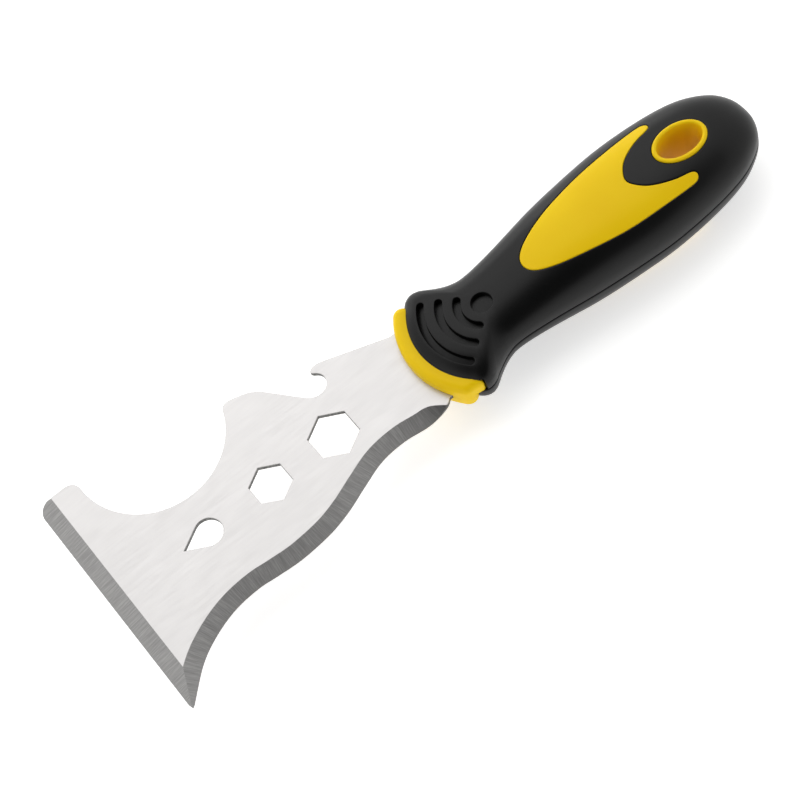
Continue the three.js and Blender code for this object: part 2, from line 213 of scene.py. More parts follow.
def satinSteel():
    # stainless sheet, cold rolled and tumbled: an even, pale satin with faint cloudiness
    material, tree, shader = newMaterial("satinStainlessSheet")
    clouds = objectNoise(tree, 60, 4)
    colour = rampTo(tree, clouds.outputs["Fac"], [(0.3, srgb("#cac8c7")), (0.7, srgb("#cdcbca"))])
    grain = objectNoise(tree, 2600, 2, (0.05, 1, 1))  # rolling grain, 0.4 mm pitch, along the tool
    shader.inputs["Metallic"].default_value = 1
    tree.links.new(colour.outputs["Color"], shader.inputs["Base Color"])
    tree.links.new(rangeTo(tree, grain.outputs["Fac"], 0.4, 0.48), shader.inputs["Roughness"])
    bump = addNode(tree, "ShaderNodeBump", {"Strength": 0.06, "Distance": 0.00002},
                   Height=grain.outputs["Fac"])
    tree.links.new(bump.outputs["Normal"], shader.inputs["Normal"])
    return material


def groundSteel():
    # belt-ground bevel, with scratches square to the edge from the grit; its grey is partly the
    # ground finish and partly painted shade. Darker again where the grind runs out beside the neck
    material, tree, shader = newMaterial("beltGroundStainless")
    grid = addNode(tree, "ShaderNodeUVMap", {"uv_map": "grind"})  # mm along and across the edge
    fine = addNode(tree, "ShaderNodeMapping", {"Scale": (3.2, 0.16, 1)}, Vector=grid.outputs["UV"])
    scratches = addNode(tree, "ShaderNodeTexNoise", {"Scale": 1, "Detail": 4, "Roughness": 0.65},
                        Vector=fine.outputs["Vector"])
    # these greys sit well below the sheet's steel: partly painted shade for the bevel's darker
    # reflection
    tone = rampTo(tree, scratches.outputs["Fac"],
                  [(0.3, srgb("#878685")), (0.5, srgb("#989796")), (0.7, srgb("#adacaa"))])
    along = addNode(tree, "ShaderNodeSeparateXYZ", Vector=grid.outputs["UV"])
    # darker towards the neck: dark grey #3c3c3b mixed in over the grind's first 18 mm
    neckDarkening = rangeTo(tree, along.outputs["X"], 0.45, 1, 2, 18)
    colour = addNode(tree, "ShaderNodeMix", {"data_type": "RGBA"})
    tree.links.new(neckDarkening, colour.inputs[0])
    colour.inputs[6].default_value = srgb("#3c3c3b")
    tree.links.new(tone.outputs["Color"], colour.inputs[7])
    shader.inputs["Metallic"].default_value = 1
    tree.links.new(colour.outputs[2], shader.inputs["Base Color"])
    tree.links.new(rangeTo(tree, scratches.outputs["Fac"], 0.4, 0.55), shader.inputs["Roughness"])
    bump = addNode(tree, "ShaderNodeBump", {"Strength": 0.25, "Distance": 0.00003},
                   Height=scratches.outputs["Fac"])
    tree.links.new(bump.outputs["Normal"], shader.inputs["Normal"])
    return material


def shearedSteel():
    # punched and sheared walls, torn in the direction of the cut; their dark grey is painted shade
    material, tree, shader = newMaterial("shearedStainlessEdge")
    grain = objectNoise(tree, 1500, 3, (1, 1, 0.15))
    # dark greys: painted shade on the walls, over the real torn grain
    colour = rampTo(tree, grain.outputs["Fac"], [(0.3, srgb("#4a4a49")), (0.7, srgb("#7b7b79"))])
    shader.inputs["Metallic"].default_value = 1
    shader.inputs["Roughness"].default_value = 0.45
    tree.links.new(colour.outputs["Color"], shader.inputs["Base Color"])
    return material


def yellowPlastic():
    # injection-moulded polypropylene, semi-gloss, with a faint orange-peel from the mould
    material, tree, shader = newMaterial("yellowMouldedPolypropylene")
    clouds = objectNoise(tree, 45, 3)
    colour = rampTo(tree, clouds.outputs["Fac"], [(0.3, srgb("#f2c90b")), (0.7, srgb("#f6d011"))])
    peel = objectNoise(tree, 900, 2)
    tree.links.new(colour.outputs["Color"], shader.inputs["Base Color"])
    tree.links.new(rangeTo(tree, peel.outputs["Fac"], 0.34, 0.44), shader.inputs["Roughness"])
    shader.inputs["IOR"].default_value = 1.49
    shader.inputs["Specular IOR Level"].default_value = 0.12
    shader.inputs["Subsurface Weight"].default_value = 0.08
    shader.inputs["Subsurface Radius"].default_value = (0.0012, 0.0008, 0.0002)
    bump = addNode(tree, "ShaderNodeBump", {"Strength": 0.08, "Distance": 0.00003},
                   Height=peel.outputs["Fac"])
    tree.links.new(bump.outputs["Normal"], shader.inputs["Normal"])
    return material


def softGrip():
    # thermoplastic rubber moulded against a spark-eroded tool: matt, 0.3 mm stipple
    material, tree, shader = newMaterial("blackThermoplasticRubber")
    clouds = objectNoise(tree, 70, 4)
    colour = rampTo(tree, clouds.outputs["Fac"], [(0.3, srgb("#060606")), (0.7, srgb("#0a0a0a"))])
    stipple = objectNoise(tree, 3300, 2)
    tree.links.new(colour.outputs["Color"], shader.inputs["Base Color"])
    tree.links.new(rangeTo(tree, stipple.outputs["Fac"], 0.3, 0.38), shader.inputs["Roughness"])
    shader.inputs["IOR"].default_value = 1.5
    shader.inputs["Specular IOR Level"].default_value = 0.24
    bump = addNode(tree, "ShaderNodeBump", {"Strength": 0.16, "Distance": 0.00004},
                   Height=stipple.outputs["Fac"])
    tree.links.new(bump.outputs["Normal"], shader.inputs["Normal"])
    return material


def drawnWire():
    # pins cropped from drawn steel wire: fine lines along their length
    material, tree, shader = newMaterial("drawnSteelWire")
    lines = objectNoise(tree, 1800, 3, (1, 1, 0.04))
    colour = rampTo(tree, lines.outputs["Fac"], [(0.3, srgb("#8a8a88")), (0.7, srgb("#b5b5b2"))])
    shader.inputs["Metallic"].default_value = 1
    tree.links.new(colour.outputs["Color"], shader.inputs["Base Color"])
    tree.links.new(rangeTo(tree, lines.outputs["Fac"], 0.3, 0.45), shader.inputs["Roughness"])
    return material


def curveThrough(points, perSpan, before=None, after=None):
    # smooth curve through points; before and after steer its two ends
    full = [before or points[0], *points, after or points[-1]]
    result = []
    for i in range(1, len(full) - 2):
        p0, p1, p2, p3 = (np.array(p, float) for p in full[i - 1:i + 3])
        for k in range(perSpan):
            t = k / perSpan
            result.append(0.5 * (2 * p1 + (p2 - p0) * t + (2 * p0 - 5 * p1 + 4 * p2 - p3) * t * t
                                 + (3 * p1 - p0 - 3 * p2 + p3) * t ** 3))
    result.append(np.array(points[-1], float))
    return np.array(result)


def evenly(points, spacing, closed=False):
    # the same line with its points about spacing apart
    line = np.vstack([points, points[:1]]) if closed else np.array(points, float)
    steps = np.hypot(*np.diff(line, axis=0).T)
    run = np.concatenate([[0], np.cumsum(steps)])
    count = max(3, round(run[-1] / spacing))
    at = np.linspace(0, run[-1], count + 1)
    even = np.column_stack([np.interp(at, run, line[:, k]) for k in (0, 1)])
    return even[:-1] if closed else even


def arc(cx, cy, radius, start, end, count):
    angles = np.radians(np.linspace(start, end, count))
    return np.column_stack([cx + radius * np.cos(angles), cy + radius * np.sin(angles)])


def grown(loop, amount):
    # a closed loop moved outwards by amount, or inwards if negative; loops run anticlockwise
    ahead, behind = np.roll(loop, -1, 0), np.roll(loop, 1, 0)
    tangent = ahead - behind
    tangent /= np.maximum(np.hypot(*tangent.T), 1e-9)[:, None]
    return loop + amount * np.column_stack([tangent[:, 1], -tangent[:, 0]])


def anticlockwise(loop):
    x, y = loop.T
    area = np.sum(x * np.roll(y, -1) - np.roll(x, -1) * y)
    return loop if area > 0 else loop[::-1]


def lineDistance(points, line, closed=True):
    # distance of each point to a line of segments
    starts = line if closed else line[:-1]
    ends = np.roll(line, -1, 0) if closed else line[1:]
    best = np.full(len(points), 1e9)
    for a, b in zip(starts, ends):
        along = b - a
        share = np.clip(((points - a) @ along) / max(along @ along, 1e-12), 0, 1)
        gap = points - a - share[:, None] * along
        best = np.minimum(best, np.hypot(*gap.T))
    return best


def insideLoop(points, loop):
    x, y = points.T
    inside = np.zeros(len(points), bool)
    for (ax, ay), (bx, by) in zip(loop, np.roll(loop, -1, 0)):
        crosses = (ay > y) != (by > y)
        with np.errstate(divide="ignore", invalid="ignore"):
            at = ax + (y - ay) * (bx - ax) / (by - ay)
        inside ^= crosses & (x < at)
    return inside


def triangulate(loops, lines, loose, keep):
    # triangles through closed loops, open lines and loose points, where keep says so
    points, edges = [], []
    for line, closed in [(l, True) for l in loops] + [(l, False) for l in lines]:
        start = len(points)
        points.extend(line)
        edges.extend((start + i, start + i + 1) for i in range(len(line) - 1))
        if closed:
            edges.append((start + len(line) - 1, start))
    points.extend(loose)
    made = delaunay_2d_cdt([Vector(p) for p in points], edges, [], 0, 1e-5)
    flat = np.array([tuple(v) for v in made[0]])
    triangles = np.array([tuple(f) for f in made[2]])
    wanted = keep(flat[triangles].mean(axis=1))
    triangles = triangles[wanted]
    used = np.unique(triangles)
    renumber = np.full(len(flat), -1)
    renumber[used] = np.arange(len(used))
    return flat[used], renumber[triangles]


def gridPoints(low, high, spacing):
    rows = np.arange(low[1], high[1], spacing * 0.87)
    points = []
    for i, y in enumerate(rows):
        xs = np.arange(low[0] + (i % 2) * spacing / 2, high[0], spacing)
        points.append(np.column_stack([xs, np.full(len(xs), y)]))
    return np.vstack(points)


def clearOf(points, lines, gap):
    for line in lines:
        points = points[lineDistance(points, line) > gap]
    return points


def closedBody(name, top, bottom, triangles):
    # a body between a top and a bottom skin with the same triangles; its rims get walls
    count = len(top)
    edges = {}  # a dictionary keeps their order
    for a, b, c in triangles.tolist():
        edges.update({(a, b): True, (b, c): True, (c, a): True})
    faces = [tuple(t) for t in triangles.tolist()]
    faces += [(c + count, b + count, a + count) for a, b, c in triangles.tolist()]
    for a, b in edges:
        if (b, a) not in edges:
            faces.append((b, a, a + count, b + count))
    mesh = bpy.data.meshes.new(name)
    mesh.from_pydata([Vector(p) for p in np.vstack([top, bottom])], [], faces)
    mesh.update()
    return mesh


def finishMesh(mesh, sharpAngle=35):
    # merged, facing outwards, placed in the frame and shaded smooth up to an angle
    work = bmesh.new()
    work.from_mesh(mesh)
    bmesh.ops.remove_doubles(work, verts=work.verts, dist=1e-4)
    bmesh.ops.dissolve_degenerate(work, dist=1e-5, edges=work.edges)
    bmesh.ops.recalc_face_normals(work, faces=work.faces)
    work.to_mesh(mesh)
    work.free()
    mesh.transform(toFrame)
    mesh.shade_smooth()
    mesh.set_sharp_from_angle(angle=math.radians(sharpAngle))
    return mesh


def addPiece(name, mesh, materials, nodes):
    piece = bpy.data.objects.new(name, mesh)
    bpy.context.scene.collection.objects.link(piece)
    for material in materials:
        if material.name not in mesh.materials:
            mesh.materials.append(material)
    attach(piece, "root")
    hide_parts(*nodes)
    print("made", name, len(mesh.polygons), "faces")


def evaluatedMesh(thing):
    # the mesh that an object's modifiers make, as plain data; the object itself goes
    bpy.context.view_layer.update()
    graph = bpy.context.evaluated_depsgraph_get()
    made = bpy.data.meshes.new_from_object(thing.evaluated_get(graph))
    bpy.data.objects.remove(thing)
    return made


def cutWith(mesh, cutter):
    # takes the cutter out of the mesh and leaves one plain mesh
    body = bpy.data.objects.new("body", mesh)
    tool = bpy.data.objects.new("tool", cutter)
    for thing in (body, tool):
        bpy.context.scene.collection.objects.link(thing)
    boolean = body.modifiers.new("cut", "BOOLEAN")
    boolean.operation = "DIFFERENCE"
    boolean.solver = "EXACT"
    boolean.object = tool
    made = evaluatedMesh(body)
    bpy.data.objects.remove(tool)
    return made


def turnedOver(mesh):
    # a copy of the front half, turned half a turn about the handle's axis
    rear = mesh.copy()
    rear.transform(toFrame @ Matrix.Rotation(math.pi, 4, "X") @ toFrame.inverted())
    return rear


plate = {
    # reach runs back to the neck; upper and tip are the scraping edge's two ends
    "reach": 105, "upper": 39.2, "tip": 38.1, "thickness": 1.5, "corner": 4,
    "grind": 5, "edge": 0.3, "chamfer": 0.12,
    "horn": 13.1, "rollerRadius": 22.9,
    "pullerX": 33, "pullerRadius": 4.25,
    "smallHexX": 54.6, "smallHexFlats": 11, "largeHexX": 76.7, "largeHexFlats": 13,
    "neck": 26.4, "shoulderX": 113.5, "tang": 14, "tangLength": 76,
    "runEnd": 2.4, "runOut": 8.5,  # where the long grind starts, and the length it swells over
    "pinHole": 2.3, "pinShares": (0.22, 0.5, 0.8),
    "grid": 2.2, "rimClear": 0.8, "facesUV": 300,
}


def wavyLine():
    # the long ground edge, from the neck to the pointed corner
    reach, neck, tip = plate["reach"], plate["neck"] / 2, plate["tip"]
    return curveThrough([
        (reach + 2.8, -neck), (reach + 1.1, -neck - 1.2), (reach - 2, -neck - 2.1),
        (reach - 7, -neck - 2.5), (reach - 15, -neck - 1.5), (reach - 23, -neck - 2.1),
        (74, -18), (66, -21), (58, -22.9), (48, -23.6), (40, -23), (34, -22.4),
        (26, -23), (18, -25.4), (10, 8.4 - tip), (1.2, 0.5 - tip),
    ], 12)


def bend(start, control, end, count=8):
    # a curve from start to end that leans towards control
    t = np.linspace(0, 1, count)[:, None]
    a, b, c = (np.array(p, float) for p in (start, control, end))
    return (1 - t) ** 2 * a + 2 * t * (1 - t) * b + t * t * c


def plateOutline():
    # from the pointed corner round the arc, the nail notch and the tang, and back
    upper, tip, horn, roller = plate["upper"], plate["tip"], plate["horn"], plate["rollerRadius"]
    arcX, arcY = horn + roller, upper - 3.9
    endAngle, corner = 339, plate["corner"]
    lx = arcX + roller * math.cos(math.radians(endAngle))
    ly = arcY + roller * math.sin(math.radians(endAngle))
    half, neckX = plate["neck"] / 2, plate["reach"] + 1.6
    shoulder, tang = plate["shoulderX"], plate["tang"] / 2
    tangEnd = shoulder + plate["tangLength"]
    parts = [
        [(0, 1.5 - tip), (0, upper - corner)],
        arc(corner, upper - corner, corner, 180, 90, 12),
        bend((9.2, upper), (horn, upper), (horn, arcY)),
        arc(arcX, arcY, roller, 180, endAngle, 60),
        bend((lx, ly), (lx + 0.9, ly + 2.7), (lx + 4.1, ly + 1.7)),
        bend((lx + 7, ly + 0.8), (lx + 10.5, ly - 0.3), (lx + 12.7, ly - 3.2)),
        bend((lx + 19.2, ly - 11.4), (lx + 21.4, ly - 14.4), (lx + 24, ly - 14.5)),
        bend((lx + 24, ly - 14.5), (lx + 27.6, ly - 14.4), (lx + 28.1, ly - 11.2)),
        bend((lx + 28.1, ly - 11.2), (lx + 28.3, ly - 9.4), (lx + 26.8, ly - 8.3)),
        bend((lx + 26.8, ly - 8.3), (lx + 25, ly - 7), (lx + 26.9, ly - 6.2)),
        bend((lx + 26.9, ly - 6.2), (lx + 28.4, ly - 5.8), (lx + 30.2, ly - 6.4)),
        [(neckX, half + 0.3), (shoulder, half), (shoulder + 1.5, tang)],
        arc(tangEnd - tang, 0, tang, 90, -90, 16),
        [(shoulder + 1.5, -tang), (shoulder, -half)],
        wavyLine(),
        [(0.4, -tip)],
    ]
    points = np.vstack([np.array(p, float) for p in parts])
    apart = np.hypot(*(points - np.roll(points, 1, 0)).T) > 0.02
    return anticlockwise(points[apart])


def plateHoles():
    px, pr = plate["pullerX"], plate["pullerRadius"]
    touch = 60  # degrees to where the teardrop's straight sides meet its round
    puller = np.vstack([[(px - 2 * pr, 0)], arc(px, 0, pr, 180 + touch, 540 - touch, 40)])
    holes = [puller]
    for x, flats in ((plate["smallHexX"], plate["smallHexFlats"]),
                     (plate["largeHexX"], plate["largeHexFlats"])):
        holes.append(arc(x, 0, flats / math.sqrt(3), 90, 450, 7)[:-1])
    for share in plate["pinShares"]:
        holes.append(arc(plate["shoulderX"] + share * plate["tangLength"], 0, plate["pinHole"],
                         0, 360, 25)[:-1])
    return [anticlockwise(evenly(h, 0.7, True) if len(h) > 8 else h) for h in holes]


def grindWidthAt(run):
    # the long grind runs out to nothing just short of the neck
    left = np.clip(1 - (run - plate["runEnd"]) / plate["runOut"], 0, 1)
    return plate["grind"] * (1 - left ** 3)


def wavyGrid():
    # points along the ground edge with their outward directions and distances from the neck
    line = evenly(wavyLine(), 0.8)
    tangent = np.gradient(line, axis=0)
    tangent /= np.hypot(*tangent.T)[:, None]
    outward = np.column_stack([-tangent[:, 1], tangent[:, 0]])
    run = np.concatenate([[0], np.cumsum(np.hypot(*np.diff(line, axis=0).T))])
    return line, outward, run


def mitreLine(line):
    # where the two ground faces meet: as far from the scraping edge as from the long edge
    points = []
    for x in np.linspace(0.7, plate["grind"], 12):
        low, high = -plate["tip"], 0.0
        for _ in range(30):
            middle = (low + high) / 2
            closer = lineDistance(np.array([[x, middle]]), line, False)[0] < x
            low, high = (middle, high) if closer else (low, middle)
        points.append((x, low))
    return np.array(points)


def makePlate():
    half, chamfer = plate["thickness"] / 2, plate["chamfer"]
    fall = (plate["thickness"] - plate["edge"]) / plate["grind"]
    outline, holes = plateOutline(), plateHoles()
    line, outward, run = wavyGrid()
    mitre = mitreLine(line)
    first = plate["runEnd"]
    runs = np.concatenate([first + np.array([0.03, 0.12, 0.3, 0.55]), run[run > first + 0.8]])
    pick = [np.interp(runs, run, values) for values in (*line.T, *outward.T)]
    inner = np.column_stack(pick[:2]) - np.column_stack(pick[2:]) * grindWidthAt(runs)[:, None]
    inner = inner[inner[:, 0] > plate["grind"] + 0.3]
    inner = np.vstack([inner, mitre[-1:]])
    front = np.array([mitre[-1], [plate["grind"], plate["upper"] - 0.3]])
    loops = [outline, *holes, grown(outline, -chamfer)] + [grown(h, chamfer) for h in holes]
    clear = plate["rimClear"]
    loose = gridPoints((0, -40), (190, 40), plate["grid"])
    loose = loose[insideLoop(loose, grown(outline, -clear))]
    loose = clearOf(loose, holes, clear)
    for grindLine in (inner, front, mitre):
        loose = loose[lineDistance(loose, grindLine, False) > clear]

    def keep(at):
        good = insideLoop(at, outline)
        for h in holes:
            good &= ~insideLoop(at, h)
        return good

    grindLines = [evenly(inner, 0.8), evenly(front, 2), mitre]
    flat, triangles = triangulate(loops, grindLines, loose, keep)
    edgeRun, edgeGap = wavyPlace(flat, line, run)
    ground = np.minimum(half, half - fall * (plate["grind"] - flat[:, 0]))
    ground = np.minimum(ground, half - fall * (grindWidthAt(edgeRun) - edgeGap))
    onRim = lineDistance(flat, outline) < 1e-3
    for h in holes:
        onRim |= lineDistance(flat, h) < 1e-3
    top = np.where(onRim, np.minimum(ground, half - chamfer), ground)
    bottom = np.full(len(flat), -half)
    mesh = closedBody("bladePlate", np.column_stack([flat, top]),
                      np.column_stack([flat, bottom]), triangles)
    grindMap(mesh, line, run)
    mesh = finishMesh(mesh, 12)
    steels = [satinSteel(), groundSteel(), shearedSteel()]
    addPiece("bladePlate", mesh, steels, ["blade"])


def wavyPlace(points, line, run):
    # how far along the ground edge each point is, and its distance from the edge
    bestGap, bestRun = np.full(len(points), 1e9), np.zeros(len(points))
    for i in range(len(line) - 1):
        a, b = line[i], line[i + 1]
        along = b - a
        t = np.clip(((points - a) @ along) / (along @ along), 0, 1)
        gap = np.hypot(*(points - a - t[:, None] * along).T)
        closer = gap < bestGap
        bestGap = np.where(closer, gap, bestGap)
        bestRun = np.where(closer, run[i] + t * (run[i + 1] - run[i]), bestRun)
    return bestRun, bestGap


def grindMap(mesh, line, run):
    # UV in mm, along and across the ground edge, and the material of each face
    corners = np.array([v.co for v in mesh.vertices])
    edgeRun, edgeGap = wavyPlace(corners[:, :2], line, run)
    centres = np.array([polygon.center for polygon in mesh.polygons])
    centreRun, centreGap = wavyPlace(centres[:, :2], line, run)
    ground = grindWidthAt(centreRun) - centreGap > 0.05
    ground |= centres[:, 0] < plate["grind"] - 0.05
    layer = mesh.uv_layers.new(name="grind")
    for polygon in mesh.polygons:
        normal = polygon.normal
        frontFace = normal.x < -0.15 and polygon.center.x < plate["grind"] + 0.1
        if abs(normal.z) < 0.5:
            polygon.material_index = 2
        elif normal.z > 0 and ground[polygon.index]:
            polygon.material_index = 1
        for loop, vertex in zip(polygon.loop_indices, polygon.vertices):
            if frontFace:
                layer.data[loop].uv = (corners[vertex, 1] + plate["facesUV"], corners[vertex, 0])
            else:
                layer.data[loop].uv = (edgeRun[vertex], edgeGap[vertex])


handle = {
    # fan, waist, palm and butt follow each other from the plate; half widths at the seam
    "fanX": 131, "fanReach": 23, "fanHalf": 18.5,
    "waistX": 134, "waistHalf": 12.85, "palmX": 185.7, "palmHalf": 18.3,
    "buttX": 226.7, "buttCentreX": 209.7,
    "waistThick": 16.8, "palmThick": 25.2, "buttFall": 0.0025,
    "wall": 2.5, "seam": 0.12, "seamRound": 0.45,
    "seamTurn": 0.03,  # share of the reach over which the skin turns in to the seam
    "sleeveX": 203.1, "grid": 0.95,
}


def handleSide():
    # half outline at the seam, from the middle of the fan to the butt
    fx, wx, px, bx = handle["fanX"], handle["waistX"], handle["palmX"], handle["buttX"]
    fan, waist, palm = handle["fanHalf"], handle["waistHalf"], handle["palmHalf"]
    front = arc(fx, 0, handle["fanReach"], 180, 180 - 43.5, 40)
    last = front[-1]
    side = curveThrough([
        tuple(last), (fx - 15.2, fan - 0.95), (fx - 12.9, fan - 0.05), (fx - 10.4, fan - 0.6),
        (fx - 7.6, fan - 2.35), (fx - 2.3, waist + 0.75), (wx, waist), (wx + 11, waist + 1.1),
        ((wx + px) / 2, (waist + palm) / 2 + 0.6), (px - 10, palm - 0.5), (px + 1, palm),
        (px + 14, palm - 0.7), (px + 24, palm - 2.2), (px + 31, palm - 4.5),
        (px + 37, palm - 8.4), (px + 40.2, palm - 13.3), (bx, 0),
    ], 10, before=tuple(front[-4]), after=(px + 40.2, 13 - palm))
    return np.vstack([front[:-1], side])


side = handleSide()
fanPart = side[side[:, 0] < handle["fanX"]]
buttPart = side[side[:, 0] > handle["buttCentreX"]]
fanAngles = np.arctan2(fanPart[:, 1], handle["fanX"] - fanPart[:, 0])
fanReaches = np.hypot(fanPart[:, 1], handle["fanX"] - fanPart[:, 0])
buttAngles = np.arctan2(buttPart[:, 1], buttPart[:, 0] - handle["buttCentreX"])
buttReaches = np.hypot(buttPart[:, 1], buttPart[:, 0] - handle["buttCentreX"])


def smooth(x, low, high):
    t = np.clip((x - low) / (high - low), 0, 1)
    return t * t * (3 - 2 * t)


def crownHeight(x):
    # half thickness of the handle along its middle
    rise = smooth(x, handle["fanX"] - 3, (handle["waistX"] + handle["palmX"]) / 2 + 6)
    fall = handle["buttFall"] * np.maximum(0, x - handle["palmX"]) ** 2
    return (handle["waistThick"] + (handle["palmThick"] - handle["waistThick"]) * rise) / 2 - fall


def spineParts(points):
    # spine point, distance and direction from it, and how far the outline is that way
    x, y = points.T
    spine = np.clip(x, handle["fanX"], handle["buttCentreX"])
    dx = x - spine
    gap = np.hypot(dx, y)
    reach = np.interp(x, side[:, 0][len(fanPart):], side[:, 1][len(fanPart):])
    reach = np.where(dx < 0, np.interp(np.arctan2(abs(y), -dx), fanAngles, fanReaches), reach)
    buttReach = np.interp(np.arctan2(abs(y), dx), buttAngles[::-1], buttReaches[::-1])
    reach = np.where(dx > 0, buttReach, reach)
    away = np.column_stack([dx, y]) / np.maximum(gap, 1e-9)[:, None]
    boxy = 3.3 - 0.75 * smooth(spine + away[:, 0] * reach, handle["fanX"] - 14, handle["fanX"] - 5)
    return spine, gap, away, reach, boxy


def toSheet(points):
    # a place seen from above, on the sheet that the skin unrolls to
    spine, gap, away, reach, boxy = spineParts(points)
    share = 1 - np.arccos(np.clip(gap / reach, 0, 1) ** (boxy / 2)) / (math.pi / 2)
    return np.column_stack([spine, np.zeros(len(spine))]) + away * (reach * share)[:, None]


def skinAt(sheet, inset=0.0, rim=0.0):
    # sheet points in space; past the outline the sheet turns in over the seam's round
    spine, gap, away, reach, boxy = spineParts(sheet)
    share = gap / reach
    angle = (1 - np.minimum(share, 1)) * math.pi / 2
    out = np.cos(angle) ** (2 / boxy)
    up = np.sin(angle) ** (2 / boxy)
    past = np.clip((share - 1) / handle["seamTurn"], 0, 1)
    turn = past * math.pi / 2
    outside = (reach - inset) * out - rim * (1 - np.cos(turn))
    if rim == 0:
        outside += past * (inset - handle["seamRound"] - 0.15)
    x = spine + away[:, 0] * outside
    y = away[:, 1] * outside
    base = handle["seam"] + rim
    z = base + up * (crownHeight(x) - inset - base) - rim * np.sin(turn)
    return np.column_stack([x, y, z])


def handleRing(share):
    # closed ring of sheet points at a share of the way out to the outline
    half = evenly(side, handle["grid"])
    full = np.vstack([half, half[1:-1][::-1] * [1, -1]])
    spine = np.clip(full[:, 0], handle["fanX"], handle["buttCentreX"])
    middle = np.column_stack([spine, np.zeros(len(spine))])
    return anticlockwise(middle + (full - middle) * share)


marks = {
    "grooves": ((7.1, 47.5), (12.3, 43.5), (17.6, 41.3)),  # radius, and degrees to each side
    "grooveHalf": 1.15, "depth": 1.9,
    "dotRadius": 3.15, "dotDepth": 1.6, "round": 0.2, "wallRun": 0.1,
}
window = {"half": 12.6, "tipX": 146.2, "endX": 200.3, "gap": 0.07, "round": 0.28}
lining = {"length": 17.6, "width": 12, "wall": 1.4, "proud": 0.35, "round": 0.6, "gap": 0.06}
bolster = {"radius": 26, "half": 17.3, "end": 2.8, "backX": 116, "thick": 9.6, "round": 2.1,
           "footStart": 112, "footEnd": 117.3, "flare": 0.5, "gap": 0.04, "slotGap": 0.15}


def inlayLoop():
    # the fork-shaped inlay: a rounded tip towards the plate and two prongs beside the sleeve
    tipX, endX, half = window["tipX"], window["endX"], window["half"]
    span = endX - tipX
    outer = curveThrough([
        (tipX, 0), (tipX + 1.4, 3.2), (tipX + 6, half - 6.6), (tipX + 0.24 * span, half - 4.2),
        (tipX + 0.41 * span, half - 2.1), (tipX + 0.57 * span, half - 0.8),
        (tipX + 0.75 * span, half - 0.2), (endX - 5, half), (endX - 1.3, half - 0.3),
        (endX, half - 1.8), (endX - 1.2, half - 3), (endX - 6, half - 4), (endX - 11, half - 6),
        (endX - 14.5, half - 8.6), (endX - 16.6, 0),
    ], 10, before=(tipX + 1.4, -3.2), after=(endX - 14.5, 8.6 - half))
    loop = np.vstack([outer, outer[1:-1][::-1] * [1, -1]])
    return anticlockwise(evenly(loop, 0.5, True))


def ovalLoop(grow=0.0, count=100):
    # the hang sleeve's outside
    angles = np.linspace(0, 2 * math.pi, count, endpoint=False)
    return np.column_stack([
        handle["sleeveX"] + (lining["length"] / 2 + grow) * np.cos(angles),
        (lining["width"] / 2 + grow) * np.sin(angles),
    ])


def grooveLoop(groove, half):
    radius, spread = groove
    fx = handle["fanX"]
    ends = [arc(fx, 0, radius, a, a, 1)[0] for a in (180 - spread, 180 + spread)]
    loop = np.vstack([
        arc(fx, 0, radius + half, 180 - spread, 180 + spread, 36),
        arc(*ends[1], half, 180 + spread, 360 + spread, 12)[1:-1],
        arc(fx, 0, radius - half, 180 + spread, 180 - spread, 36),
        arc(*ends[0], half, -spread, 180 - spread, 12)[1:-1],
    ])
    return anticlockwise(evenly(loop, 0.4, True))


def grooveGap(points, groove):
    # distance to the groove's middle line
    radius, spread = groove
    middle = arc(handle["fanX"], 0, radius, 180 - spread, 180 + spread, 60)
    return lineDistance(points, middle, False)


def slotDrop(gap, half, depth):
    # how far a slot's wall and floor lie below the skin, at a distance from its middle line
    r, run = marks["round"], marks["wallRun"]
    edge = np.clip((half + r - gap) / r, 0, 1)
    lip = r * 0.6 * (1 - np.sqrt(1 - edge ** 2))
    wall = np.clip((half - gap) / run, 0, 1) * (depth - r * 0.6)
    return lip + wall


def edgeDrop(gap, r):
    # rounding of an edge, at a distance inside the material from it
    edge = np.clip(1 - gap / r, 0, 1)
    return r * (1 - np.sqrt(1 - edge ** 2))


def sheetGrid(loops, inside, spacing):
    loose = gridPoints((handle["fanX"] - 24, -20), (handle["buttX"] + 1, 20), spacing)
    return clearOf(loose[inside(loose)], loops, spacing * 0.5)


def makeGripMesh():
    # front half of the grip, with rings close together where the skin turns in to the seam
    shares = (1.03, 1.02, 1.01, 1.0, 0.997, 0.99, 0.978, 0.962, 0.942, 0.918, 0.89, 0.86)
    rings = [handleRing(s) for s in shares]
    hole = ovalLoop(lining["gap"])
    opening = grown(inlayLoop(), window["gap"])
    features = [opening, hole]
    for step in (0.07, 0.16, window["round"], 0.6):
        features += [grown(opening, step), grown(hole, step)]
    half, run = marks["grooveHalf"], marks["wallRun"]
    r = marks["round"]
    steps = (half + r, half + 0.5 * r, half + 0.03, half, half - run, half - 0.5)
    for step in steps:
        features += [grooveLoop(groove, step) for groove in marks["grooves"]]
        features.append(arc(handle["fanX"], 0, marks["dotRadius"] - half + step, 0, 360, 41)[:-1])
    features = [toSheet(f) for f in features]
    openLoop, holeLoop = features[0], features[1]
    inner = handleRing(0.83)
    loose = sheetGrid(features, lambda p: insideLoop(p, inner), handle["grid"])

    def keep(at):
        return insideLoop(at, rings[0]) & ~insideLoop(at, openLoop) & ~insideLoop(at, holeLoop)

    flat, triangles = triangulate(rings + features, [], loose, keep)
    outer = skinAt(flat, 0, handle["seamRound"])
    above = outer[:, :2]
    drop = np.zeros(len(above))
    for groove in marks["grooves"]:
        drop = np.maximum(drop, slotDrop(grooveGap(above, groove), half, marks["depth"]))
    fromDot = np.hypot(above[:, 0] - handle["fanX"], above[:, 1])
    drop = np.maximum(drop, slotDrop(fromDot, marks["dotRadius"], marks["dotDepth"]))
    drop += edgeDrop(lineDistance(above, opening), window["round"])
    drop += edgeDrop(lineDistance(above, hole), window["round"])
    outer[:, 2] -= drop
    under = skinAt(flat, handle["wall"], 0)
    return closedBody("gripShell", outer, under, triangles)


